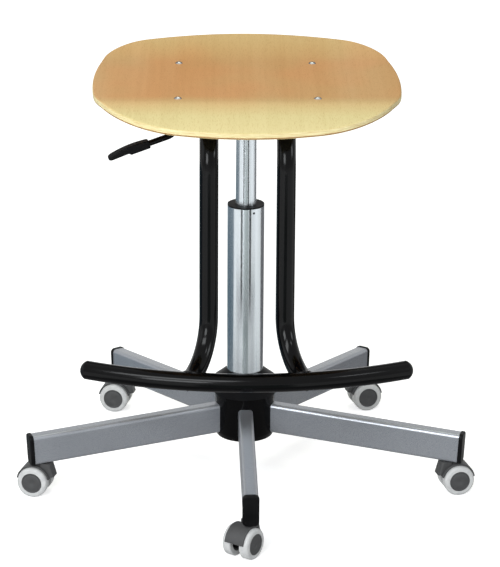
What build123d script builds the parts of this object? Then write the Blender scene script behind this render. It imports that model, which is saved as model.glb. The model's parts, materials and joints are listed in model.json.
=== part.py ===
from build123d import *
from math import asin, cos, degrees, radians, sin, sqrt, tan
import os

# Adjustable stool: millimetres, +Z up, origin on the floor under the column's axis,
# -Y towards the sitter's knees, where the footrest is.

# Fits
running_gap = 0.05
swivel_gap = 0.3
pin_gap = 0.2

# Casters
wheel_radius = 21.0
wheel_width = 13.2
tyre_shoulder = 4.0
tyre_inner_round = 1.2
core_radius = 14.2
core_recess = 0.6
core_disc = 2.6
core_rim = 2.2
core_boss_radius = 6.0
axle_radius = 3.0
axle_end_wall = 2.0
web_thickness = 12.6
wheel_side_gap = 0.4
hood_gap = 0.7
hood_wall = 1.8
hood_width = 29.0
hood_trail_angle = 10.0
hood_lead_drop = 1.0
hood_lead_rise = 7.0
hood_edge_round = 1.4
axle_boss_radius = 5.6
neck_radius = 6.6
neck_width = 20.0
neck_corner = 4.0
neck_rise = 2.4
lead_wall_lean = 5.4
caster_trail = 16.0
stem_radius = 4.0
stem_depth = 15.6
caster_headings = (-125.0, 13.0, 15.0, 168.0, 165.0)

# Base
arm_count = 5
front_arm_angle = -89.4
base_radius = 310.0
arm_height = 41.5
arm_width = 20.0
arm_corner = 5.0
arm_wall = 2.0
arm_slope = 3.0
stem_inset = 25.0
arm_clearance = 1.0
sleeve_radius = 7.2
sleeve_length = 28.0
cap_flange = 5.5
cap_overhang = 1.0
cap_plug_gap = 1.5
cap_round = 2.0
hub_radius = 41.0
hub_foot_radius = 38.5
hub_below_arms = 7.3
hub_above_arms = 28.0
hub_foot_round = 3.0
cover_skirt_radius = 43.5
cover_wall = 2.0
cover_skirt_drop = 13.6
cover_rise = 19.0
cover_shoulder_rise = 7.5
cover_shoulder_radius = 38.0
cover_shoulder_round = 3.0
cover_lip = 1.2

# Gas column
column_radius = 25.0
column_wall = 1.5
column_length = 327.0
column_recess = 3.7
column_taper_angle = 0.72
column_floor = 3.0
stake_hole_radius = 1.6
stake_hole_drop = 5.5
stake_hole_count = 3
stake_hole_turn = -65.0
bush_flange = 2.0
bush_length = 90.0
bush_land = 18.0
bush_wall = 4.0
cylinder_radius = 14.0
cylinder_wall = 2.0
cylinder_length = 290.0
cylinder_exposed = 99.7
gland_length = 25.0
valve_block_length = 28.0
taper_top_radius = 13.2
valve_pin_radius = 3.0
valve_pin_length = 33.0
valve_pin_stand = 5.0
rod_radius = 5.0
rod_length = 249.0
piston_height = 14.0
spindle_radius = 4.0
spindle_tail = 3.0
race_radius = 15.0
race_thickness = 2.0
ball_radius = 2.0
ball_circle_radius = 10.5
ball_count = 9
cage_thickness = 1.6
cage_border = 1.2
clip_radius = 8.0
clip_thickness = 1.5
clip_groove = 0.8
buffer_radius = 11.5
buffer_height = 16.0
buffer_taper = 1.0

# Seat plate and lever
socket_radius = 19.0
socket_length = 36.0
plate_thickness = 3.0
plate_width = 210.0
plate_depth = 208.0
plate_corner = 15.0
channel_width = 72.0
channel_length = 110.0
channel_depth = 51.0
lever_headroom = 10.0
lever_rod_radius = 4.0
lever_pivot_reach = 38.0
lever_pivot_radius = 2.5
lever_boss_radius = 6.5
lever_boss_length = 16.0
lever_overreach = 6.0
lever_bend_radius = 16.0
lever_crank_x = -50.0
lever_crank_run = 53.0
lever_crank_drop = 47.5
lever_yaw = 12.0
lever_arm_run = 30.0
lever_arm_pitch = 17.0
grip_length = 58.5
grip_width = 14.0
grip_inner_height = 10.6
grip_bulge = 1.3
grip_waist = 28.0
grip_step = 2.6
grip_tip_height = 5.8
grip_tip_drop = 3.3
grip_corner = 3.0
grip_tip_radius = 6.0
grip_socket = 24.0
grip_round = 1.7

# Seat
seat_width = 410.0
seat_front_reach = 200.0
seat_rear_reach = 204.0
seat_thickness = 9.0
seat_flat_front = 106.0
seat_front_bend = 80.0
seat_front_bend_turn = 9.0
seat_flat_rear = 102.0
seat_front_roll = 700.0
seat_rear_roll = 310.0
seat_front_bow = 470.0
seat_rear_bow = 600.0
seat_side_bow = 760.0
seat_front_corner = 138.0
seat_rear_corner = 78.0
seat_edge_round = 2.8
seat_trim_margin = 12.0
bolt_spacing_x = 182.0
bolt_spacing_y = 190.0
bolt_radius = 3.0
bolt_hole_gap = 0.3
bolt_head_radius = 5.2
bolt_head_rise = 2.2
bolt_tail = 2.0
nut_width = 10.0
nut_height = 5.0

# Footrest
tube_radius = 12.5
tube_wall = 2.0
tube_spacing = 101.0
tube_bend = 69.0
tube_splay = 23.0
tube_end_run = 2.0
footrest_drop = 348.6
footrest_reach = 186.0
bar_arc_radius = 476.0
bar_half_width = 210.5
bar_cap_collar = 2.0
bar_cap_dome = 8.0
bar_cap_plug = 14.0
bar_cap_plug_gap = 0.3

# Heights that follow, from the floor up
hood_radius = wheel_radius + hood_gap + hood_wall
caster_top_z = wheel_radius + hood_radius + neck_rise
stem_low_z = caster_top_z - stem_depth
sleeve_bottom_z = caster_top_z + arm_clearance
stem_distance = base_radius - stem_inset
arm_slope_rise = tan(radians(arm_slope))
arm_upright_half = arm_height / 2 / cos(radians(arm_slope))
arm_stem_z = sleeve_bottom_z + arm_upright_half
arm_hub_z = arm_stem_z + (stem_distance - hub_radius) * arm_slope_rise
hub_bottom_z = arm_hub_z - arm_upright_half - hub_below_arms
hub_top_z = arm_hub_z + arm_upright_half + hub_above_arms
cover_top_z = hub_top_z + cover_rise
column_bottom_z = hub_bottom_z + column_recess
column_top_z = column_bottom_z + column_length
bush_top_z = column_top_z + bush_flange
socket_bottom_z = bush_top_z + cylinder_exposed
cylinder_top_z = socket_bottom_z + socket_length
cylinder_bottom_z = cylinder_top_z - cylinder_length
lever_z = cylinder_top_z + valve_pin_stand + pin_gap + lever_rod_radius
plate_bottom_z = lever_z + lever_rod_radius + lever_headroom
plate_top_z = plate_bottom_z + plate_thickness
seat_top_z = plate_top_z + seat_thickness
footrest_z = plate_bottom_z - footrest_drop
race_bottom_z = column_bottom_z + column_floor
race_top_z = race_bottom_z + 2 * race_thickness + 2 * ball_radius + running_gap

nodes = {}


def turned(*corners):
    """Solid turned about Z from (radius, height) corners."""
    outline = Polyline(*corners, close=True)
    return revolve(Plane.XZ * make_face(outline), Axis.Z)


def rod(radius, low, high):
    """Upright round bar between two heights."""
    return Pos(0, 0, low) * Cylinder(radius, high - low, align=(Align.CENTER, Align.CENTER, Align.MIN))


def cross_rod(radius, length):
    """Round bar along Y, centred on the origin."""
    return Rot(90, 0, 0) * Cylinder(radius, length)


def around(count, distance=0.0, start=0.0):
    """Places spread evenly round the Z axis."""
    return [Rot(0, 0, start + step * 360 / count) * Pos(distance, 0, 0) for step in range(count)]


def caster_axle_place():
    return Pos(caster_trail, 0, wheel_radius)


def make_hood():
    """Hood round the wheels with the web between them, the stem neck and the axle boss."""
    trail_end = radians(hood_trail_angle)
    reach = 2 * hood_radius
    lead_x = -neck_radius - lead_wall_lean
    lead_z = wheel_radius + hood_lead_rise
    sector = Polyline(
        (caster_trail, wheel_radius),
        (caster_trail + reach * cos(trail_end), wheel_radius + reach * sin(trail_end)),
        (caster_trail, wheel_radius + reach),
        (lead_x, wheel_radius + reach),
        (lead_x, lead_z),
        (caster_trail - axle_boss_radius, wheel_radius - hood_lead_drop),
        close=True,
    )
    barrel = cross_rod(hood_radius, hood_width)
    barrel = fillet(barrel.edges().filter_by(GeomType.CIRCLE), hood_edge_round)
    hood = extrude(Plane.XZ * make_face(sector), hood_width / 2, both=True)
    hood &= caster_axle_place() * barrel
    neck_outline = Polyline(
        (-neck_radius, caster_top_z),
        (neck_radius, caster_top_z),
        (neck_radius, lead_z),
        (lead_x, lead_z),
        close=True,
    )
    neck = extrude(Plane.XZ * make_face(neck_outline), neck_width / 2, both=True)
    hood += fillet(neck.edges().sort_by(Axis.X)[1:3], neck_corner)
    cavity_depth = (hood_width - web_thickness) / 2
    cavity_centre = (hood_width + web_thickness) / 4
    for sign in (-1, 1):
        cavity = Pos(0, sign * cavity_centre, 0) * cross_rod(wheel_radius + hood_gap, cavity_depth)
        hood -= caster_axle_place() * cavity
    hood += caster_axle_place() * cross_rod(axle_boss_radius, web_thickness)
    hood -= caster_axle_place() * cross_rod(axle_radius, 2 * hood_width)
    hood -= rod(stem_radius + running_gap, stem_low_z - swivel_gap, caster_top_z)
    return hood


def make_wheel_core():
    """Wheel core on Z, inner face at zero, with a blind axle bore."""
    bore = axle_radius + running_gap
    face_z = wheel_width - core_recess
    disc_z = face_z - core_disc
    rim_inner = core_radius - core_rim
    return turned(
        (0, face_z),
        (0, wheel_width - axle_end_wall),
        (bore, wheel_width - axle_end_wall),
        (bore, 0),
        (core_boss_radius, 0),
        (core_boss_radius, disc_z),
        (rim_inner, disc_z),
        (rim_inner, tyre_inner_round),
        (core_radius, tyre_inner_round),
        (core_radius, face_z),
    )


def make_tyre():
    """Soft tyre on Z, inner face at zero, with a round outer shoulder."""
    ring = turned(
        (core_radius, 0),
        (wheel_radius - tyre_inner_round, 0),
        (wheel_radius, tyre_inner_round),
        (wheel_radius, wheel_width),
        (core_radius, wheel_width),
    )
    shoulder = [edge for edge in ring.edges().filter_by(GeomType.CIRCLE)
                if abs(edge.radius - wheel_radius) < 0.01 and edge.center().Z > wheel_width / 2]
    return fillet(shoulder, tyre_shoulder)


def add_casters():
    """Five casters, each with its hood, axle and two wheels."""
    hood = make_hood()
    core = make_wheel_core()
    tyre = make_tyre()
    inner_face = web_thickness / 2 + wheel_side_gap
    axle_length = 2 * (inner_face + wheel_width - axle_end_wall) - 2 * swivel_gap
    axle = caster_axle_place() * cross_rod(axle_radius, axle_length)
    wheel_places = {
        "left": caster_axle_place() * Pos(0, inner_face, 0) * Rot(-90, 0, 0),
        "right": caster_axle_place() * Pos(0, -inner_face, 0) * Rot(90, 0, 0),
    }
    stems = []
    stem = rod(stem_radius, stem_low_z, sleeve_bottom_z + sleeve_length - stem_radius)
    spots = around(arm_count, stem_distance, front_arm_angle)
    for number, (spot, heading) in enumerate(zip(spots, caster_headings), start=1):
        place = Pos(spot.position) * Rot(0, 0, heading)
        name = f"caster_{number}"
        nodes[f"{name}_hood"] = place * hood
        nodes[f"{name}_axle"] = place * axle
        for side, wheel_place in wheel_places.items():
            nodes[f"{name}_{side}_core"] = place * wheel_place * core
            nodes[f"{name}_{side}_tyre"] = place * wheel_place * tyre
        stems.append(place * stem)
    nodes["caster_stems"] = Compound(stems)


def arm_bar(margin, start, length):
    """Bar of the arm's rounded section along X, made larger or smaller all round by a margin."""
    section = RectangleRounded(arm_width + 2 * margin, arm_height + 2 * margin, arm_corner + margin)
    return Pos(start, 0, 0) * extrude(Plane.YZ * section, length)


def add_base():
    """Hub, cover, arms with their stem sleeves, and arm end caps."""
    tilt = Pos(stem_distance, 0, arm_stem_z) * Rot(0, arm_slope, 0)
    outward = stem_inset / cos(radians(arm_slope))
    tube_end = outward - cap_flange
    full = tilt * arm_bar(0, -stem_distance, stem_distance + tube_end)
    hollow = tilt * arm_bar(-arm_wall, -stem_distance, stem_distance + tube_end)
    sleeve_top = sleeve_bottom_z + sleeve_length
    stem_place = Pos(stem_distance, 0, 0)
    sleeve = full & stem_place * rod(sleeve_radius, caster_top_z, sleeve_top)
    arm = full - hollow + sleeve
    arm -= stem_place * rod(stem_radius, caster_top_z, sleeve_top - stem_radius)
    arm -= rod(hub_radius, 0, 2 * hub_top_z)
    flange = arm_bar(cap_overhang, tube_end, cap_flange)
    flange = fillet(flange.faces().sort_by(Axis.X)[-1].edges(), cap_round)
    plug_start = sleeve_radius + cap_plug_gap
    cap = tilt * (flange + arm_bar(-arm_wall, plug_start, tube_end - plug_start))
    turns = around(arm_count, 0, front_arm_angle)
    for number, turn in enumerate(turns, start=1):
        nodes[f"arm_{number}"] = turn * arm
    nodes["arm_end_caps"] = Compound([turn * cap for turn in turns])

    taper = tan(radians(column_taper_angle))

    def column_radius_at(height):
        return column_radius - (cover_top_z - height) * taper

    hub = turned(
        (column_radius_at(hub_bottom_z), hub_bottom_z),
        (hub_foot_radius, hub_bottom_z),
        (hub_radius, hub_bottom_z + hub_below_arms),
        (hub_radius, hub_top_z),
        (column_radius_at(hub_top_z), hub_top_z),
    )
    foot = [edge for edge in hub.edges().filter_by(GeomType.CIRCLE)
            if edge.radius > (column_radius + hub_radius) / 2 and edge.center().Z < arm_hub_z]
    nodes["hub"] = fillet(foot, hub_foot_round)

    skirt_bottom = hub_top_z - cover_skirt_drop
    shoulder_z = hub_top_z + cover_shoulder_rise
    cover = turned(
        (column_radius, cover_top_z),
        (column_radius + cover_lip, cover_top_z),
        (cover_shoulder_radius, shoulder_z + cover_wall),
        (cover_skirt_radius, shoulder_z - cover_wall),
        (cover_skirt_radius, skirt_bottom),
        (cover_skirt_radius - cover_wall, skirt_bottom),
        (cover_skirt_radius - cover_wall, hub_top_z),
        (column_radius + cover_wall, hub_top_z),
        (column_radius + cover_wall, shoulder_z),
        (column_radius, shoulder_z),
    )
    between = (column_radius + cover_shoulder_radius) / 2
    shoulder = [edge for edge in cover.edges().filter_by(GeomType.CIRCLE)
                if edge.radius > between and edge.center().Z > hub_top_z]
    nodes["hub_cover"] = fillet(shoulder, cover_shoulder_round)

    bore = column_radius - column_wall
    foot_radius = column_radius_at(column_bottom_z)
    outer_tube = turned(
        (spindle_radius + running_gap, column_bottom_z),
        (foot_radius, column_bottom_z),
        (column_radius, cover_top_z),
        (column_radius, column_top_z),
        (bore, column_top_z),
        (bore, cover_top_z),
        (foot_radius - column_wall, race_bottom_z),
        (spindle_radius + running_gap, race_bottom_z),
    )
    stake_pin = Rot(0, 90, 0) * Cylinder(stake_hole_radius, 4 * column_wall)
    for turn in around(stake_hole_count, column_radius, stake_hole_turn):
        outer_tube -= Pos(0, 0, column_top_z - stake_hole_drop) * turn * stake_pin
    nodes["outer_tube"] = outer_tube

    slide = cylinder_radius + running_gap
    relief = slide + bush_wall
    nodes["guide_bush"] = turned(
        (slide, bush_top_z),
        (column_radius, bush_top_z),
        (column_radius, column_top_z),
        (bore, column_top_z),
        (bore, column_top_z - bush_land),
        (relief, column_top_z - bush_land),
        (relief, column_top_z - bush_length + bush_land),
        (bore, column_top_z - bush_length + bush_land),
        (bore, column_top_z - bush_length),
        (slide, column_top_z - bush_length),
    )


def add_column():
    """Gas spring inside the outer tube: bearing, piston rod, cylinder and valve pin."""
    spindle_bore = spindle_radius + running_gap
    race = turned(
        (spindle_bore, race_bottom_z),
        (race_radius, race_bottom_z),
        (race_radius, race_bottom_z + race_thickness),
        (spindle_bore, race_bottom_z + race_thickness),
    )
    ball_z = race_bottom_z + race_thickness + ball_radius
    cage_inner = ball_circle_radius - ball_radius - cage_border
    cage_outer = ball_circle_radius + ball_radius + cage_border
    cage = turned(
        (cage_inner, ball_z - cage_thickness / 2),
        (cage_outer, ball_z - cage_thickness / 2),
        (cage_outer, ball_z + cage_thickness / 2),
        (cage_inner, ball_z + cage_thickness / 2),
    )
    for turn in around(ball_count, ball_circle_radius):
        cage += Pos(0, 0, ball_z) * turn * Sphere(ball_radius)
    nodes["thrust_bearing"] = Compound([race, cage])
    upper_low = race_top_z - race_thickness
    nodes["bearing_upper_race"] = turned(
        (spindle_radius, upper_low),
        (race_radius, upper_low),
        (race_radius, race_top_z),
        (spindle_radius, race_top_z),
    )

    clip_top = column_bottom_z - swivel_gap
    clip_low = clip_top - clip_thickness
    groove = spindle_radius - clip_groove
    rod_top = race_top_z + rod_length
    piston_radius = cylinder_radius - cylinder_wall - running_gap
    nodes["piston_rod"] = turned(
        (0, clip_low - spindle_tail),
        (spindle_radius, clip_low - spindle_tail),
        (spindle_radius, clip_low),
        (groove, clip_low),
        (groove, clip_top),
        (spindle_radius, clip_top),
        (spindle_radius, race_top_z),
        (rod_radius, race_top_z),
        (rod_radius, rod_top),
        (piston_radius, rod_top),
        (piston_radius, rod_top + piston_height),
        (0, rod_top + piston_height),
    )
    nodes["retaining_clip"] = turned(
        (groove, clip_low),
        (clip_radius, clip_low),
        (clip_radius, clip_top),
        (groove, clip_top),
    )
    nodes["buffer_ring"] = turned(
        (rod_radius, race_top_z),
        (buffer_radius, race_top_z),
        (buffer_radius - buffer_taper, race_top_z + buffer_height),
        (rod_radius, race_top_z + buffer_height),
    )

    rod_bore = rod_radius + running_gap
    pin_bore = valve_pin_radius + running_gap
    inside = cylinder_radius - cylinder_wall
    nodes["gas_cylinder"] = turned(
        (rod_bore, cylinder_bottom_z),
        (cylinder_radius, cylinder_bottom_z),
        (cylinder_radius, socket_bottom_z),
        (taper_top_radius, cylinder_top_z),
        (pin_bore, cylinder_top_z),
        (pin_bore, cylinder_top_z - valve_block_length),
        (inside, cylinder_top_z - valve_block_length),
        (inside, cylinder_bottom_z + gland_length),
        (rod_bore, cylinder_bottom_z + gland_length),
    )
    pin_top = cylinder_top_z + valve_pin_stand
    nodes["valve_pin"] = rod(valve_pin_radius, pin_top - valve_pin_length, pin_top)
    nodes["taper_socket"] = turned(
        (cylinder_radius, socket_bottom_z),
        (socket_radius, socket_bottom_z),
        (socket_radius, cylinder_top_z),
        (taper_top_radius, cylinder_top_z),
    )


def bolt_places():
    return [Pos(side * bolt_spacing_x / 2, end * bolt_spacing_y / 2, 0)
            for side in (-1, 1) for end in (-1, 1)]


def add_seat_plate():
    """Pressed plate: two flanges joined by a channel that the socket and lever sit in."""
    web_bottom = plate_top_z - channel_depth
    sheet = RectangleRounded(plate_width, plate_depth, plate_corner)
    plate = Pos(0, 0, plate_bottom_z) * extrude(sheet, plate_thickness)
    low = (Align.CENTER, Align.CENTER, Align.MIN)
    plate -= Pos(0, 0, plate_bottom_z) * Box(plate_width, channel_width, plate_thickness, align=low)
    channel = Box(channel_length, channel_width, channel_depth, align=low)
    inner = Box(channel_length, channel_width - 2 * plate_thickness, channel_depth, align=low)
    plate += Pos(0, 0, web_bottom) * (channel - Pos(0, 0, plate_thickness) * inner)
    plate -= rod(socket_radius, web_bottom, web_bottom + plate_thickness)
    pivot = Pos(-lever_pivot_reach, 0, lever_z) * cross_rod(lever_pivot_radius, channel_width)
    plate -= pivot
    for place in bolt_places():
        plate -= place * rod(bolt_radius + bolt_hole_gap, plate_bottom_z, plate_top_z)
    nodes["seat_plate"] = plate
    nodes["lever_pivot"] = pivot


def make_grip():
    """Paddle grip along +X from its inner end: side profile trimmed by its plan."""
    half = grip_inner_height / 2
    tip_top = half - grip_tip_drop
    top = ThreePointArc((0, half), (grip_waist, half + grip_bulge), (grip_length, tip_top))
    under = Polyline(
        (grip_length, tip_top),
        (grip_length, tip_top - grip_tip_height),
        (grip_waist + grip_step, -half + grip_step),
        (grip_waist, -half),
        (0, -half),
        (0, half),
    )
    body = extrude(Plane.XZ * make_face([top, under]), grip_width / 2, both=True)
    plan = Pos(grip_length / 2, 0) * Rectangle(grip_length, grip_width)
    plan = fillet(plan.vertices().sort_by(Axis.X)[-2:], grip_tip_radius)
    plan = fillet(plan.vertices().sort_by(Axis.X)[:2], grip_corner)
    keep = Pos(0, 0, -grip_length) * extrude(plan, 2 * grip_length)
    body &= keep
    body = fillet(body.edges(), grip_round)
    return body - Rot(0, 90, 0) * rod(lever_rod_radius, 0, grip_socket)


def add_lever():
    """Cranked lever rod on its pivot, with a paddle grip at its end."""
    yaw = radians(lever_yaw)
    pitch = radians(lever_arm_pitch)
    crank = Vector(lever_crank_x, 0, lever_z)
    outward = Vector(-cos(yaw), -sin(yaw), 0)
    elbow = crank + outward * lever_crank_run - Vector(0, 0, lever_crank_drop)
    along = outward * cos(pitch) - Vector(0, 0, sin(pitch))
    grip_start = elbow + along * lever_arm_run
    rod_end = grip_start + along * grip_socket
    path = FilletPolyline(
        (lever_overreach, 0, lever_z), crank, elbow, rod_end, radius=lever_bend_radius
    )
    section = Plane(path @ 0, z_dir=path % 0) * Circle(lever_rod_radius)
    lever = sweep(section, path)
    pivot = Pos(-lever_pivot_reach, 0, lever_z)
    lever += pivot * cross_rod(lever_boss_radius, lever_boss_length)
    lever -= pivot * cross_rod(lever_pivot_radius + running_gap, channel_width)
    nodes["lever_rod"] = lever
    side = Vector(0, 0, 1).cross(along)
    nodes["lever_grip"] = Plane(grip_start, x_dir=along, z_dir=along.cross(side)) * make_grip()


def add_seat():
    """Moulded plywood seat with its bolts and nuts."""
    bend_turn = radians(seat_front_bend_turn)
    front_run = seat_front_reach + seat_trim_margin - seat_flat_front
    rear_run = seat_rear_reach + seat_trim_margin - seat_flat_rear
    roll_run = front_run - seat_front_bend * sin(bend_turn)
    roll_turn = degrees(asin(sin(bend_turn) + roll_run / seat_front_roll)) - seat_front_bend_turn
    rear_turn = degrees(asin(rear_run / seat_rear_roll))
    low_z = seat_top_z - seat_thickness
    bend_top = JernArc((-seat_flat_front, seat_top_z), (-1, 0), seat_front_bend, seat_front_bend_turn)
    bend_low = JernArc(
        (-seat_flat_front, low_z), (-1, 0), seat_front_bend - seat_thickness, seat_front_bend_turn
    )
    roll_top = JernArc(bend_top @ 1, bend_top % 1, seat_front_roll, roll_turn)
    roll_low = JernArc(bend_low @ 1, bend_low % 1, seat_front_roll - seat_thickness, roll_turn)
    rear_top = JernArc((seat_flat_rear, seat_top_z), (1, 0), seat_rear_roll, rear_turn)
    rear_low = JernArc((seat_flat_rear, low_z), (1, 0), seat_rear_roll + seat_thickness, rear_turn)
    outline = [
        roll_top,
        bend_top,
        Line((-seat_flat_front, seat_top_z), (seat_flat_rear, seat_top_z)),
        rear_top,
        Line(rear_top @ 1, rear_low @ 1),
        rear_low,
        Line((-seat_flat_front, low_z), (seat_flat_rear, low_z)),
        bend_low,
        roll_low,
        Line(roll_top @ 1, roll_low @ 1),
    ]
    sheet = extrude(Plane.YZ * make_face(outline), seat_width, both=True)
    half_width = seat_width / 2
    plan = Pos(0, seat_front_bow - seat_front_reach) * Circle(seat_front_bow)
    plan &= Pos(0, seat_rear_reach - seat_rear_bow) * Circle(seat_rear_bow)
    plan &= Pos(seat_side_bow - half_width, 0) * Circle(seat_side_bow)
    plan &= Pos(half_width - seat_side_bow, 0) * Circle(seat_side_bow)
    plan = fillet(plan.vertices().sort_by(Axis.Y)[:2], seat_front_corner)
    plan = fillet(plan.vertices().sort_by(Axis.Y)[-2:], seat_rear_corner)
    shell = sheet & extrude(plan, 2 * seat_top_z)
    rims = [edge for edge in shell.edges() if edge.geom_type != GeomType.LINE]
    shell = fillet(rims, seat_edge_round)
    nut_low = plate_bottom_z - nut_height
    bolt = rod(bolt_radius, nut_low - bolt_tail, seat_top_z)
    head_curve = (bolt_head_radius ** 2 + bolt_head_rise ** 2) / (2 * bolt_head_rise)
    dome = Pos(0, 0, seat_top_z + bolt_head_rise - head_curve) * Sphere(head_curve)
    bolt += dome & rod(bolt_head_radius, seat_top_z, seat_top_z + bolt_head_rise)
    hexagon = RegularPolygon(nut_width / 2, 6, major_radius=False) - Circle(bolt_radius)
    nut = Pos(0, 0, nut_low) * extrude(hexagon, nut_height)
    for place in bolt_places():
        shell -= place * rod(bolt_radius + bolt_hole_gap, low_z, seat_top_z)
    nodes["seat_shell"] = shell
    nodes["seat_bolts"] = Compound([place * bolt for place in bolt_places()])
    nodes["seat_nuts"] = Compound([place * nut for place in bolt_places()])


def add_footrest():
    """Two bent tubes welded to the seat plate, carrying a curved bar."""
    arc_centre_y = bar_arc_radius - footrest_reach
    splay = radians(tube_splay)
    tube_x = tube_spacing / 2
    run = tube_bend + tube_end_run
    join_x = tube_x + run * sin(splay)
    join_y = arc_centre_y - sqrt(bar_arc_radius ** 2 - join_x ** 2)
    upright_y = join_y + run * cos(splay)
    top_z = plate_bottom_z - tube_radius
    half_turn = degrees(asin(bar_half_width / bar_arc_radius))
    arc = CenterArc((0, 0), bar_arc_radius, -90 - half_turn, 2 * half_turn)
    centre_line = Pos(0, arc_centre_y, footrest_z) * arc
    bar_plane = Plane(centre_line @ 0, z_dir=centre_line % 0)
    bore = tube_radius - tube_wall
    bar = sweep(bar_plane * (Circle(tube_radius) - Circle(bore)), centre_line)
    bar_solid = sweep(bar_plane * Circle(tube_radius), centre_line)
    nodes["footrest_bar"] = bar
    for name, side in (("left", -1), ("right", 1)):
        path = FilletPolyline(
            (side * tube_x, -channel_width / 2, top_z),
            (side * tube_x, upright_y, top_z),
            (side * tube_x, upright_y, footrest_z),
            (side * join_x, join_y, footrest_z),
            radius=tube_bend,
        )
        ring = Plane(path @ 0, z_dir=path % 0) * (Circle(tube_radius) - Circle(bore))
        tube = sweep(ring, path) - bar_solid
        nodes[f"footrest_tube_{name}"] = tube.solids().sort_by(SortBy.VOLUME)[-1]

    dome_radius = (tube_radius ** 2 + bar_cap_dome ** 2) / (2 * bar_cap_dome)
    dome_centre = bar_cap_collar + bar_cap_dome - dome_radius
    dome_half = asin(tube_radius / dome_radius) / 2
    dome_start = (tube_radius, bar_cap_collar)
    dome_mid = (dome_radius * sin(dome_half), dome_centre + dome_radius * cos(dome_half))
    dome_end = (0, bar_cap_collar + bar_cap_dome)
    plug = bore - bar_cap_plug_gap
    profile = [
        ThreePointArc(dome_start, dome_mid, dome_end),
        Polyline(
            dome_end,
            (0, -bar_cap_plug),
            (plug, -bar_cap_plug),
            (plug, 0),
            (tube_radius, 0),
            dome_start,
        ),
    ]
    cap = revolve(Plane.XZ * make_face(profile), Axis.Z)
    ends = [
        Plane(centre_line @ 0, z_dir=-(centre_line % 0)),
        Plane(centre_line @ 1, z_dir=centre_line % 1),
    ]
    nodes["footrest_end_caps"] = Compound([end * cap for end in ends])


add_casters()
add_base()
add_column()
add_seat_plate()
add_lever()
add_seat()
add_footrest()

os.makedirs("parts", exist_ok=True)
for name, shape in nodes.items():
    export_step(shape, f"parts/{name}.step")
print(f"{len(nodes)} nodes, seat top at {seat_top_z:.1f} mm, footrest at {footrest_z:.1f} mm")
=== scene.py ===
import bpy
import bmesh
import json
from math import cos, pi, radians, sin, sqrt
from mathutils import Matrix, Vector


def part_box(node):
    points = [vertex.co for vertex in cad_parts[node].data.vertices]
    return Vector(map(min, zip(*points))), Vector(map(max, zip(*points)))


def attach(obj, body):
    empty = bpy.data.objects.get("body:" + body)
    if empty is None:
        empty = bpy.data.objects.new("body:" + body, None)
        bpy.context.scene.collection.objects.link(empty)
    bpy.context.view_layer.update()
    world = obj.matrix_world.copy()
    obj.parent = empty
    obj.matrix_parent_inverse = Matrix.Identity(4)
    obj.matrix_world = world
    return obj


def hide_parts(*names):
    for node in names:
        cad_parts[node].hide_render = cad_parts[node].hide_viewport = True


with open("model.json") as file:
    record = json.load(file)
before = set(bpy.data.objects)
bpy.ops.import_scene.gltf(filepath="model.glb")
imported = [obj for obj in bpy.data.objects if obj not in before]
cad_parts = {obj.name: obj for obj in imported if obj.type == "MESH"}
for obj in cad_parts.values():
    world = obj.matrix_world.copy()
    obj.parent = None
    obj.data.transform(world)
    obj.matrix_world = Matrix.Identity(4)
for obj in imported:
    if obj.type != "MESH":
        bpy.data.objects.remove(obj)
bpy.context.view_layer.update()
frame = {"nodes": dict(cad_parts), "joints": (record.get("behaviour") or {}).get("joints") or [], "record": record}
nodes = frame["nodes"]
scene = bpy.context.scene
scene.view_settings.view_transform = "Standard"


# Camera: its place in metres, angles in radians, sensor and lens in millimetres
CAMERA_DISTANCE = 3.5
CAMERA_HEIGHT = 1.447
CAMERA_AZIMUTH = -0.0175
CAMERA_PITCH = 0.324
CAMERA_ROLL = 0.0059
CAMERA_SENSOR = 36
CAMERA_LENS = 194.64
CAMERA_SHIFT = 0.009
CAMERA_REACH = 50


def add_camera():
    """Long lens a little to the left of the front, looking down at the seat."""
    turn, pitch, roll = CAMERA_AZIMUTH, CAMERA_PITCH, CAMERA_ROLL
    forward = Vector((-sin(turn) * cos(pitch), cos(turn) * cos(pitch), -sin(pitch)))
    level = Vector((cos(turn), sin(turn), 0))
    upright = level.cross(forward)
    right = cos(roll) * level + sin(roll) * upright
    up = -sin(roll) * level + cos(roll) * upright
    data = bpy.data.cameras.new("camera")
    data.sensor_fit = "HORIZONTAL"
    data.sensor_width = CAMERA_SENSOR
    data.lens = CAMERA_LENS
    data.shift_x = CAMERA_SHIFT
    data.clip_end = CAMERA_REACH
    camera = bpy.data.objects.new("camera", data)
    place = Matrix((right, up, -forward)).transposed().to_4x4()
    place.translation = (CAMERA_DISTANCE * sin(turn), -CAMERA_DISTANCE * cos(turn), CAMERA_HEIGHT)
    camera.matrix_world = place
    scene.collection.objects.link(camera)
    scene.camera = camera


# Shader helpers
NOISE_LOW = 0.3
NOISE_HIGH = 0.7
WHITE = (1, 1, 1)


def even(cells):
    """The same number of noise cells per metre along each axis."""
    return (cells, cells, cells)


def grey(level):
    return (level, level, level)


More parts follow.
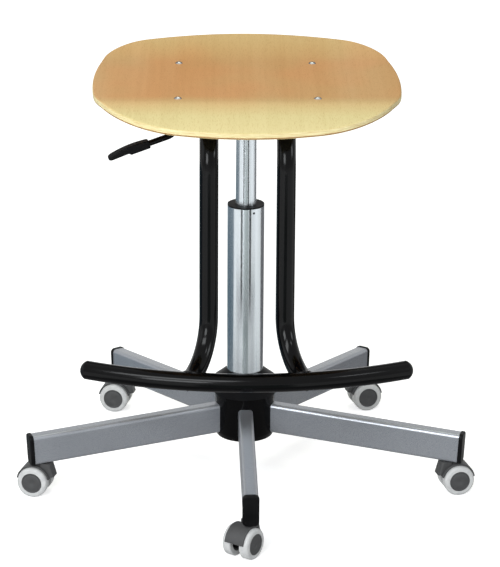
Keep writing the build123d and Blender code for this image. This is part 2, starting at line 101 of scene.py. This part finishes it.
class Paint:
    """A material with a Principled shader and short ways to add texture nodes."""

    def __init__(self, name, **values):
        self.material = bpy.data.materials.new(name)
        self.material.use_nodes = True
        self.tree = self.material.node_tree
        self.shader = self.tree.nodes["Principled BSDF"]
        for socket, value in values.items():
            self.shader.inputs[socket.replace("_", " ")].default_value = value

    def node(self, kind, **settings):
        made = self.tree.nodes.new(kind)
        for key, value in settings.items():
            setattr(made, key, value)
        return made

    def link(self, source, target):
        self.tree.links.new(source, target)

    def position(self, stretch=(1, 1, 1)):
        """Object position, stretched per axis."""
        place = self.node("ShaderNodeTexCoord")
        mapping = self.node("ShaderNodeMapping")
        mapping.inputs["Scale"].default_value = stretch
        self.link(place.outputs["Object"], mapping.inputs["Vector"])
        return mapping.outputs["Vector"]

    def split(self, vector):
        """The X, Y and Z outputs of a vector."""
        parts = self.node("ShaderNodeSeparateXYZ")
        self.link(vector, parts.inputs["Vector"])
        return parts.outputs

    def noise(self, cells, detail=3.0, rough=0.5):
        """Noise with so many cells per metre along each axis."""
        texture = self.node("ShaderNodeTexNoise")
        texture.inputs["Scale"].default_value = 1.0
        texture.inputs["Detail"].default_value = detail
        texture.inputs["Roughness"].default_value = rough
        self.link(self.position(cells), texture.inputs["Vector"])
        return texture.outputs["Fac"]

    def ramp(self, source, *stops):
        """Colour ramp through (position, colour) stops."""
        ramp = self.node("ShaderNodeValToRGB")
        marks = ramp.color_ramp.elements
        while len(marks) < len(stops):
            marks.new(0.5)
        for mark, (where, colour) in zip(marks, stops):
            mark.position = where
            mark.color = (*colour, 1)
        self.link(source, ramp.inputs["Fac"])
        return ramp.outputs["Color"]

    def drift(self, noise, low_colour, high_colour):
        """Colour that follows a noise from one colour to another."""
        return self.ramp(noise, (NOISE_LOW, low_colour), (NOISE_HIGH, high_colour))

    def spread(self, source, low, high, to_low, to_high):
        """Number mapped from one range to another, kept inside it."""
        spread = self.node("ShaderNodeMapRange")
        spread.inputs["From Min"].default_value = low
        spread.inputs["From Max"].default_value = high
        spread.inputs["To Min"].default_value = to_low
        spread.inputs["To Max"].default_value = to_high
        self.link(source, spread.inputs["Value"])
        return spread.outputs["Result"]

    def math(self, operation, *values):
        """Result of an operation on other nodes' outputs."""
        work = self.node("ShaderNodeMath", operation=operation)
        for socket, value in zip(work.inputs, values):
            self.link(value, socket)
        return work.outputs["Value"]

    def mix(self, amount, first, second, blend="MIX"):
        """Two colours mixed; the amount and the second may be plain values or nodes' outputs."""
        mix = self.node("ShaderNodeMix", data_type="RGBA", blend_type=blend)
        first_socket, second_socket = [socket for socket in mix.inputs if socket.type == "RGBA"]
        if isinstance(amount, float):
            mix.inputs["Factor"].default_value = amount
        else:
            self.link(amount, mix.inputs["Factor"])
        self.link(first, first_socket)
        if isinstance(second, tuple):
            second_socket.default_value = (*second, 1)
        else:
            self.link(second, second_socket)
        return [socket for socket in mix.outputs if socket.type == "RGBA"][0]

    def bump(self, height, strength, distance):
        bump = self.node("ShaderNodeBump")
        bump.inputs["Strength"].default_value = strength
        bump.inputs["Distance"].default_value = distance
        self.link(height, bump.inputs["Height"])
        self.link(bump.outputs["Normal"], self.shader.inputs["Normal"])

    def colour(self, source):
        self.link(source, self.shader.inputs["Base Color"])

    def roughness(self, noise, at_low, at_high):
        """Roughness that follows a noise from one value to another."""
        spread = self.spread(noise, NOISE_LOW, NOISE_HIGH, at_low, at_high)
        self.link(spread, self.shader.inputs["Roughness"])


# Materials
BEECH_DARK = (0.645, 0.338, 0.14)
BEECH = (0.675, 0.373, 0.167)
BEECH_LIGHT = (0.705, 0.418, 0.204)
# Pale front colour: a painted highlight where the seat's front roll catches the light
BEECH_FRONT_HIGHLIGHT = (0.70, 0.605, 0.295)
# Yellower rear colour: painted light on the seat's rear roll
BEECH_REAR_PAINTED_LIGHT = (0.595, 0.42, 0.185)
PINK_TINT = (1.0, 0.955, 0.93)
YELLOW_TINT = (0.955, 1.0, 0.98)
STREAK = (0.96, 0.95, 0.93)
FLECK = (0.84, 0.76, 0.68)
PLY_DARK = (0.60, 0.47, 0.23)
PLY_LIGHT = (0.72, 0.63, 0.35)
# Dark brown of the edge's lower roll: painted shade where the edge turns under
PLY_UNDERSIDE_SHADE = (0.30, 0.14, 0.05)
# Where the painted highlight on the front roll starts and where it is full, along Y
FRONT_HIGHLIGHT_START, FRONT_HIGHLIGHT_FULL = -0.084, -0.155
# Where the painted light on the rear roll starts and where it is full, along Y
REAR_LIGHT_START, REAR_LIGHT_FULL = 0.10, 0.185
STEEL_MARK = 0.9
STEEL_BLUE = 1.02


def make_veneer(paint, streaks, flecks):
    """Beech with bands, streaks and flecks from front to back, paler in front as a painted highlight on the front
    roll, and yellower at the rear as painted light on the rear roll.
    """
    bands = paint.noise((13, 0.9, 1), detail=2)
    veneer = paint.ramp(bands, (0.30, BEECH_DARK), (0.52, BEECH), (0.72, BEECH_LIGHT))
    streak = paint.ramp(streaks, (0.35, STREAK), (0.60, WHITE))
    fleck = paint.ramp(flecks, (0.33, FLECK), (0.42, WHITE))
    along = paint.split(paint.position())["Y"]
    # Painted highlight: the veneer turns pale towards the front roll
    front = paint.spread(along, FRONT_HIGHLIGHT_START, FRONT_HIGHLIGHT_FULL, 0, 0.9)
    # Painted light: the veneer turns yellower towards the rear roll
    rear = paint.spread(along, REAR_LIGHT_START, REAR_LIGHT_FULL, 0, 0.65)
    patches = paint.noise((9, 7, 1), detail=1)
    tint = paint.ramp(patches, (0.40, PINK_TINT), (0.60, YELLOW_TINT))
    veneer = paint.mix(rear, veneer, BEECH_REAR_PAINTED_LIGHT)
    veneer = paint.mix(1.0, veneer, tint, "MULTIPLY")
    veneer = paint.mix(front, veneer, BEECH_FRONT_HIGHLIGHT)
    veneer = paint.mix(1.0, veneer, streak, "MULTIPLY")
    return paint.mix(0.7, veneer, fleck, "MULTIPLY")


def make_plywood():
    """Lacquered beech veneer on both faces, and plies along the edge, with painted shade where the edge turns
    under.
    """
    paint = Paint("beech_plywood", Specular_IOR_Level=0.0, Coat_Weight=0.25, Coat_Roughness=0.3)
    streaks = paint.noise((150, 3.5, 1), detail=4, rough=0.6)
    flecks = paint.noise((1500, 190, 1), detail=1)
    veneer = make_veneer(paint, streaks, flecks)
    facing_up = paint.split(paint.node("ShaderNodeNewGeometry").outputs["Normal"])["Z"]
    edge_grain = paint.noise((60, 60, 900), detail=3)
    plies = paint.ramp(edge_grain, (0.36, PLY_DARK), (0.60, PLY_LIGHT))
    # Painted shade: the edge darkens where its surface faces down
    underside_shade = paint.spread(facing_up, -0.30, -0.03, 1, 0)
    edge = paint.mix(underside_shade, plies, PLY_UNDERSIDE_SHADE)
    on_face = paint.spread(paint.math("ABSOLUTE", facing_up), 0.45, 0.80, 0, 1)
    paint.colour(paint.mix(on_face, edge, veneer))
    paint.roughness(streaks, 0.46, 0.36)
    paint.bump(flecks, strength=0.10, distance=0.0002)
    return paint.material


def make_chrome():
    """Bright plating, a little hazy along its length."""
    paint = Paint("chrome_plate", Metallic=1.0, Anisotropic=0.85, Anisotropic_Rotation=0.25)
    haze = paint.noise((60, 60, 6), detail=4)
    paint.colour(paint.drift(haze, (0.46, 0.495, 0.52), (0.50, 0.535, 0.56)))
    paint.roughness(haze, 0.22, 0.27)
    around = paint.node("ShaderNodeTangent", direction_type="RADIAL", axis="Z")
    paint.link(around.outputs["Tangent"], paint.shader.inputs["Tangent"])
    return paint.material


def make_black_paint():
    """Glossy powder coat with a fine orange peel."""
    paint = Paint("black_powder_coat", IOR=1.22)
    cloud = paint.noise(even(20))
    paint.colour(paint.drift(cloud, (0.0008, 0.0008, 0.001), (0.0016, 0.0016, 0.0019)))
    paint.roughness(cloud, 0.13, 0.18)
    paint.bump(paint.noise(even(520), detail=2), strength=0.03, distance=0.0003)
    return paint.material


def make_black_plastic():
    """Moulded black plastic with a fine spark-eroded grain."""
    paint = Paint("black_moulded_plastic", IOR=1.17)
    cloud = paint.noise(even(40))
    paint.colour(paint.drift(cloud, (0.003, 0.003, 0.0035), (0.006, 0.006, 0.0065)))
    paint.roughness(cloud, 0.38, 0.48)
    paint.bump(paint.noise(even(1800), detail=1), strength=0.18, distance=0.0002)
    return paint.material


def make_silver_paint():
    """Satin silver powder coat with a fine metallic speckle."""
    paint = Paint("silver_powder_coat", Metallic=0.5, Specular_IOR_Level=0.4)
    speckle = paint.noise(even(2600), detail=1)
    base = paint.drift(paint.noise(even(14)), (0.315, 0.33, 0.36), (0.345, 0.36, 0.39))
    flake = paint.ramp(speckle, (0.35, grey(0.86)), (0.65, WHITE))
    paint.colour(paint.mix(1.0, base, flake, "MULTIPLY"))
    paint.roughness(speckle, 0.25, 0.33)
    paint.bump(paint.noise(even(700), detail=2), strength=0.08, distance=0.0003)
    return paint.material


def make_steel(name, tone):
    """Plated or turned steel with fine marks."""
    paint = Paint(name, Metallic=1.0)
    marks = paint.noise(even(900), detail=2)
    paint.colour(paint.drift(marks, grey(tone * STEEL_MARK), (tone, tone, tone * STEEL_BLUE)))
    paint.roughness(marks, 0.22, 0.34)
    paint.bump(marks, strength=0.06, distance=0.0002)
    return paint.material


def make_grey_plastic():
    """Dark grey moulded plastic of the casters."""
    paint = Paint("grey_moulded_plastic", Specular_IOR_Level=0.3)
    cloud = paint.noise(even(70))
    paint.colour(paint.drift(cloud, (0.052, 0.052, 0.053), (0.065, 0.065, 0.066)))
    paint.roughness(cloud, 0.52, 0.62)
    paint.bump(paint.noise(even(1600), detail=1), strength=0.2, distance=0.0002)
    return paint.material


def make_tyre_rubber():
    """Light grey tread, slightly scuffed."""
    paint = Paint("grey_tread", Specular_IOR_Level=0.3)
    scuff = paint.noise(even(130), detail=4)
    paint.colour(paint.ramp(scuff, (0.30, grey(0.47)), (0.60, (0.55, 0.55, 0.545))))
    paint.roughness(scuff, 0.62, 0.5)
    paint.bump(paint.noise(even(1200), detail=2), strength=0.15, distance=0.0002)
    return paint.material


def make_buffer_rubber():
    """Black rubber of the buffer inside the column."""
    paint = Paint("buffer_rubber")
    cloud = paint.noise(even(200))
    paint.colour(paint.drift(cloud, grey(0.02), grey(0.04)))
    paint.roughness(cloud, 0.6, 0.75)
    return paint.material


finishes = {
    "plywood": make_plywood(),
    "chrome": make_chrome(),
    "black_paint": make_black_paint(),
    "black_plastic": make_black_plastic(),
    "silver_paint": make_silver_paint(),
    "bright_steel": make_steel("zinc_plated_steel", 0.40),
    "plain_steel": make_steel("turned_steel", 0.55),
    "buffer_rubber": make_buffer_rubber(),
    "grey_plastic": make_grey_plastic(),
    "grey_tyre": make_tyre_rubber(),
}


def dress_frame():
    """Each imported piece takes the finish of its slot."""
    for subpart in frame["record"]["subparts"]:
        piece = nodes[subpart["node"]]
        piece.data.materials.clear()
        piece.data.materials.append(finishes[subpart["material_slot"]])


# Detail pieces, in metres
UP = Vector((0, 0, 1))
SHARP_ANGLE = radians(35)
BOLT_HEAD_RADIUS = 0.0052
BOLT_HEAD_RISE = 0.0022
BOLT_HEAD_SUNK = 0.0005
BOLT_SOCKET = 0.0016
BOLT_SOCKET_MOUTH = 1.5 * BOLT_SOCKET
BOLT_SOCKET_CHAMFER = 0.0002
BOLT_SOCKET_DEPTH = 0.0013
BOLT_DOME_STEPS = 6
BOLT_SIDES = 48
BEAD_RADIUS = 0.0016
BEAD_RIPPLE = 0.16
BEAD_RIPPLE_TURN = 2.1
BEAD_POINTS = 72
TUBE_RADIUS = 0.0125
TUBE_SPLAY = radians(23)
# Where the right tube's axis meets the footrest bar's axis, and where it meets the seat plate's channel
TUBE_JOIN = Vector((0.07824, -0.17953, 0.19639))
TUBE_FOOT = Vector((0.0505, -0.036, 0.53249))
BAR_ARC_RADIUS = 0.476
BAR_ARC_CENTRE_Y = 0.290
WELD_SEARCH = 0.03
WELD_HALVINGS = 24
CORE_FACE = 0.0193
CORE_RADIUS = 0.0142
FACE_RIM = 0.00045
FACE_DISC = 0.00035
FACE_GROOVE = 0.00012
FACE_DIMPLE = 0.00008
FACE_SIDES = 64


def add_piece(name, bm, body, slot):
    """Finished mesh piece that moves with a body."""
    mesh = bpy.data.meshes.new(name)
    bm.to_mesh(mesh)
    bm.free()
    mesh.shade_smooth()
    mesh.set_sharp_from_angle(angle=SHARP_ANGLE)
    mesh.materials.append(finishes[slot])
    piece = bpy.data.objects.new(name, mesh)
    scene.collection.objects.link(piece)
    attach(piece, body)
    return piece


def stack_rings(bm, rings, place, count):
    """Skin through rings of (radius of an angle, height), closed at both ends."""
    levels = []
    for radius_at, height in rings:
        ring = []
        for step in range(count):
            angle = 2 * pi * step / count
            radius = radius_at(angle)
            ring.append(bm.verts.new(place @ Vector((radius * cos(angle), radius * sin(angle), height))))
        levels.append(ring)
    for lower, upper in zip(levels, levels[1:]):
        for step in range(count):
            after = (step + 1) % count
            bm.faces.new((lower[step], lower[after], upper[after], upper[step]))
    bm.faces.new(list(reversed(levels[0])))
    bm.faces.new(levels[-1])


def round_ring(radius, height):
    """Circle at a height."""
    return (lambda angle: radius, height)


def hex_ring(half_width, height):
    """Hexagon at a height, by half its width across flats."""
    return (lambda angle: half_width / cos((angle + pi / 6) % (pi / 3) - pi / 6), height)


def add_bolt_heads():
    """Domed socket heads of the four seat bolts."""
    low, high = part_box("seat_bolts")
    curve = (BOLT_HEAD_RADIUS ** 2 + BOLT_HEAD_RISE ** 2) / (2 * BOLT_HEAD_RISE)

    def dome_height(radius):
        return high[2] - curve + sqrt(curve ** 2 - radius ** 2)

    rings = [round_ring(BOLT_HEAD_RADIUS, high[2] - BOLT_HEAD_RISE - BOLT_HEAD_SUNK)]
    for step in range(BOLT_DOME_STEPS + 1):
        radius = BOLT_HEAD_RADIUS + (BOLT_SOCKET_MOUTH - BOLT_HEAD_RADIUS) * step / BOLT_DOME_STEPS
        rings.append(round_ring(radius, dome_height(radius)))
    mouth_height = dome_height(BOLT_SOCKET_MOUTH)
    rings.append(hex_ring(BOLT_SOCKET, mouth_height - BOLT_SOCKET_CHAMFER))
    rings.append(hex_ring(BOLT_SOCKET, mouth_height - BOLT_SOCKET_DEPTH))
    bm = bmesh.new()
    for x in (low[0] + BOLT_HEAD_RADIUS, high[0] - BOLT_HEAD_RADIUS):
        for y in (low[1] + BOLT_HEAD_RADIUS, high[1] - BOLT_HEAD_RADIUS):
            stack_rings(bm, rings, Matrix.Translation((x, y, 0)), BOLT_SIDES)
    heads = add_piece("seat_bolt_heads", bm, "seat", "bright_steel")
    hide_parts("seat_bolts")


def add_bead(name, points, body):
    """Rippled weld bead along a closed line of points."""
    curve = bpy.data.curves.new(name, "CURVE")
    curve.dimensions = "3D"
    curve.bevel_depth = BEAD_RADIUS
    curve.bevel_resolution = 3
    spline = curve.splines.new("POLY")
    spline.points.add(len(points) - 1)
    spline.use_cyclic_u = True
    for step, (point, at) in enumerate(zip(spline.points, points)):
        point.co = (*at, 1)
        point.radius = 1 + BEAD_RIPPLE * sin(step * BEAD_RIPPLE_TURN)
    curve.materials.append(finishes["black_paint"])
    bead = bpy.data.objects.new(name, curve)
    scene.collection.objects.link(bead)
    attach(bead, body)


def bar_gap(point):
    """Distance from a point to the footrest bar's surface."""
    out = Vector((point.x, point.y - BAR_ARC_CENTRE_Y)).length - BAR_ARC_RADIUS
    return sqrt(out ** 2 + (point.z - TUBE_JOIN.z) ** 2) - TUBE_RADIUS


def meet_bar(start, along):
    """Point where a line along the tube's wall comes to the footrest bar, found by halving."""
    near, far = -WELD_SEARCH, 0.0
    for _ in range(WELD_HALVINGS):
        middle = (near + far) / 2
        if bar_gap(start + middle * along) > 0:
            near = middle
        else:
            far = middle
    return start + near * along


def add_welds():
    """Beads where the footrest tubes meet the bar and the seat plate's channel."""
    for name, side in (("left", -1), ("right", 1)):
        along = Vector((side * sin(TUBE_SPLAY), -cos(TUBE_SPLAY), 0))
        across = Vector((side * cos(TUBE_SPLAY), sin(TUBE_SPLAY), 0))
        join = Vector((side * TUBE_JOIN.x, TUBE_JOIN.y, TUBE_JOIN.z))
        foot = Vector((side * TUBE_FOOT.x, TUBE_FOOT.y, TUBE_FOOT.z))
        at_bar = []
        at_plate = []
        for step in range(BEAD_POINTS):
            angle = 2 * pi * step / BEAD_POINTS
            at_bar.append(meet_bar(join + TUBE_RADIUS * (cos(angle) * across + sin(angle) * UP), along))
            at_plate.append(foot + TUBE_RADIUS * Vector((cos(angle), 0, sin(angle))))
        add_bead(f"footrest_weld_{name}", at_bar, "seat")
        add_bead(f"plate_weld_{name}", at_plate, "seat")


def add_wheel_faces():
    """Moulded face of each wheel core: a rim step, a shallow groove and a centre dimple."""
    face = [
        (CORE_RADIUS, 0.0),
        (0.0139, FACE_RIM),
        (0.0127, FACE_RIM),
        (0.0122, FACE_GROOVE),
        (0.0114, FACE_GROOVE),
        (0.0109, FACE_DISC),
        (0.0030, FACE_DISC),
        (0.0024, FACE_DIMPLE),
        (0.0004, FACE_DIMPLE / 2),
    ]
    rings = [round_ring(radius, height) for radius, height in face]
    for joint in frame["joints"]:
        if not joint["name"].endswith("_roll"):
            continue
        side = 1 if "_left_" in joint["name"] else -1
        axis = side * Vector(joint["axis"])
        place = Matrix.Translation(Vector(joint["pos_m"]) + CORE_FACE * axis)
        place @= axis.to_track_quat("Z", "Y").to_matrix().to_4x4()
        bm = bmesh.new()
        stack_rings(bm, rings, place, FACE_SIDES)
        add_piece(joint["child"] + "_face", bm, joint["child"], "grey_plastic")


# Studio, in metres and watts
FLOOR_REACH = 12.0
FLOOR_TONE = 0.82
FLOOR_GLOW = 0.64
FAR_FLOOR_GLOW = 0.98
GLOW_START, GLOW_FULL = 0.8, 2.4
WORLD_LIGHT = 0.16
CARD_HEIGHT = 0.001
# Height of the card of painted shade under the stool
UNDER_SHADE_CARD_HEIGHT = 0.002
CARD_BACK_Y = 0.6
CARD_BACK_LOW, CARD_BACK_HIGH = 0.57, 1.30


def add_plane(name, corners):
    """Flat face with four corners, which isn't part of the stool."""
    mesh = bpy.data.meshes.new(name)
    mesh.from_pydata(corners, [], [(0, 1, 2, 3)])
    plane = bpy.data.objects.new(name, mesh)
    scene.collection.objects.link(plane)
    return plane


def background_rays(tree):
    """1 for rays of the camera and for those that a surface mirrors or lets through, else 0."""
    path = tree.nodes.new("ShaderNodeLightPath")
    seen = path.outputs["Is Camera Ray"]
    for kind in ("Is Glossy Ray", "Is Transmission Ray"):
        either = tree.nodes.new("ShaderNodeMath")
        either.operation = "MAXIMUM"
        tree.links.new(seen, either.inputs[0])
        tree.links.new(path.outputs[kind], either.inputs[1])
        seen = either.outputs["Value"]
    return seen


def add_floor():
    """White floor that takes the stool's shadow and glows to the camera and in reflections, more far away."""
    reach = FLOOR_REACH
    corners = [(-reach, -reach, 0), (reach, -reach, 0), (reach, reach, 0), (-reach, reach, 0)]
    floor = add_plane("floor", corners)
    paint = Paint(
        "floor_paper",
        Base_Color=(*grey(FLOOR_TONE), 1),
        Roughness=0.9,
        Specular_IOR_Level=0.0,
        Emission_Color=(*WHITE, 1),
    )
    away = paint.node("ShaderNodeVectorMath", operation="LENGTH")
    paint.link(paint.position(), away.inputs["Vector"])
    glow = paint.spread(away.outputs["Value"], GLOW_START, GLOW_FULL, FLOOR_GLOW, FAR_FLOOR_GLOW)
    strength = paint.math("MULTIPLY", background_rays(paint.tree), glow)
    paint.link(strength, paint.shader.inputs["Emission Strength"])
    floor.data.materials.append(paint.material)


def add_world():
    """Surroundings that are white to the camera and in reflections, and light the stool softly."""
    world = bpy.data.worlds.new("studio")
    scene.world = world
    world.use_nodes = True
    tree = world.node_tree
    back = tree.nodes["Background"]
    level = tree.nodes.new("ShaderNodeMapRange")
    level.inputs["To Min"].default_value = WORLD_LIGHT
    level.inputs["To Max"].default_value = 1.0
    tree.links.new(background_rays(tree), level.inputs["Value"])
    back.inputs["Color"].default_value = (*WHITE, 1)
    tree.links.new(level.outputs["Result"], back.inputs["Strength"])


def add_area(name, place, target, size, power, colour):
    """Rectangular lamp that faces its target."""
    data = bpy.data.lights.new(name, "AREA")
    data.shape = "RECTANGLE"
    data.size, data.size_y = size
    data.energy = power
    data.color = colour
    lamp = bpy.data.objects.new(name, data)
    lamp.location = place
    lamp.rotation_euler = (Vector(target) - Vector(place)).to_track_quat("-Z", "Y").to_euler()
    scene.collection.objects.link(lamp)


def add_lamps():
    """A high key and a low lamp in front on the left, a low one on the right, soft fills and a top lamp."""
    add_area(
        "key",
        place=(-1.05, -2.1, 2.1),
        target=(0, -0.1, 0.3),
        size=(2.0, 0.8),
        power=54,
        colour=(0.95, 0.98, 1.0),
    )
    add_area(
        "front",
        place=(-1.1, -2.6, 1.05),
        target=(0, 0, 0.4),
        size=(1.1, 0.8),
        power=34,
        colour=(0.95, 0.98, 1.0),
    )
    add_area(
        "side_right",
        place=(2.5, -0.95, 1.15),
        target=(0, 0, 0.4),
        size=(0.8, 0.7),
        power=14,
        colour=(0.93, 0.97, 1.0),
    )
    add_area(
        "fill_left",
        place=(-3.0, -0.6, 1.2),
        target=(0, 0, 0.3),
        size=(1.6, 1.6),
        power=9,
        colour=(0.90, 0.95, 1.0),
    )
    add_area(
        "fill_right",
        place=(1.5, -1.5, 2.1),
        target=(0, -0.1, 0.2),
        size=(0.6, 0.3),
        power=6,
        colour=(0.93, 0.97, 1.0),
    )
    add_area(
        "top",
        place=(0.05, 1.05, 2.40),
        target=(0, -0.1, 0.55),
        size=(1.1, 1.2),
        power=17,
        colour=(0.95, 1.0, 0.85),
    )


def add_card(name, corners, tone):
    """Card beside the stool that only polished surfaces show."""
    card = add_plane(name, corners)
    paint = Paint(
        name,
        Base_Color=(0, 0, 0, 1),
        Specular_IOR_Level=0.0,
        Roughness=1.0,
        Emission_Color=(*tone, 1),
        Emission_Strength=1.0,
    )
    paint.material.cycles.emission_sampling = "NONE"
    card.data.materials.append(paint.material)
    card.visible_camera = False
    card.visible_diffuse = False
    card.visible_transmission = False
    card.visible_shadow = False


def add_floor_card(name, outline, tone, height=CARD_HEIGHT):
    """Card that lies just above the floor."""
    add_card(name, [(x, y, height) for x, y in outline], tone)


def add_cards():
    """Dark card standing behind the stool, and cards on the floor left, right and in front, and under it a grey
    card of painted shade that polished surfaces mirror in place of the shaded floor.
    """
    low, high = CARD_BACK_LOW, CARD_BACK_HIGH
    back = [(x, CARD_BACK_Y, z) for x, z in ((-0.9, low), (0.9, low), (0.9, high), (-0.9, high))]
    add_card("card_back", back, tone=(0.20, 0.20, 0.21))
    add_floor_card(
        "card_floor_left",
        [(-2.2, -0.35), (-0.2, -0.04), (-0.2, 1.5), (-2.2, 1.5)],
        tone=(0.14, 0.22, 0.28),
    )
    add_floor_card(
        "card_floor_right",
        [(0.2, 0.08), (2.2, 0.62), (2.2, 1.5), (0.2, 1.5)],
        tone=(0.18, 0.175, 0.185),
    )
    add_floor_card(
        "card_floor_front",
        [(-0.5, -1.8), (0.5, -1.8), (0.12, -0.36), (-0.12, -0.36)],
        tone=(0.42, 0.50, 0.47),
    )
    # Painted shade: a grey card under the stool, seen only in reflections, darkens the floor that polished parts
    # mirror there
    add_floor_card(
        "card_floor_under_shade",
        [(-0.4, -0.42), (0.4, -0.42), (0.4, 0.2), (-0.4, 0.2)],
        tone=grey(0.36),
        height=UNDER_SHADE_CARD_HEIGHT,
    )


add_camera()
dress_frame()
add_bolt_heads()
add_welds()
add_wheel_faces()
add_floor()
add_world()
add_lamps()
add_cards()
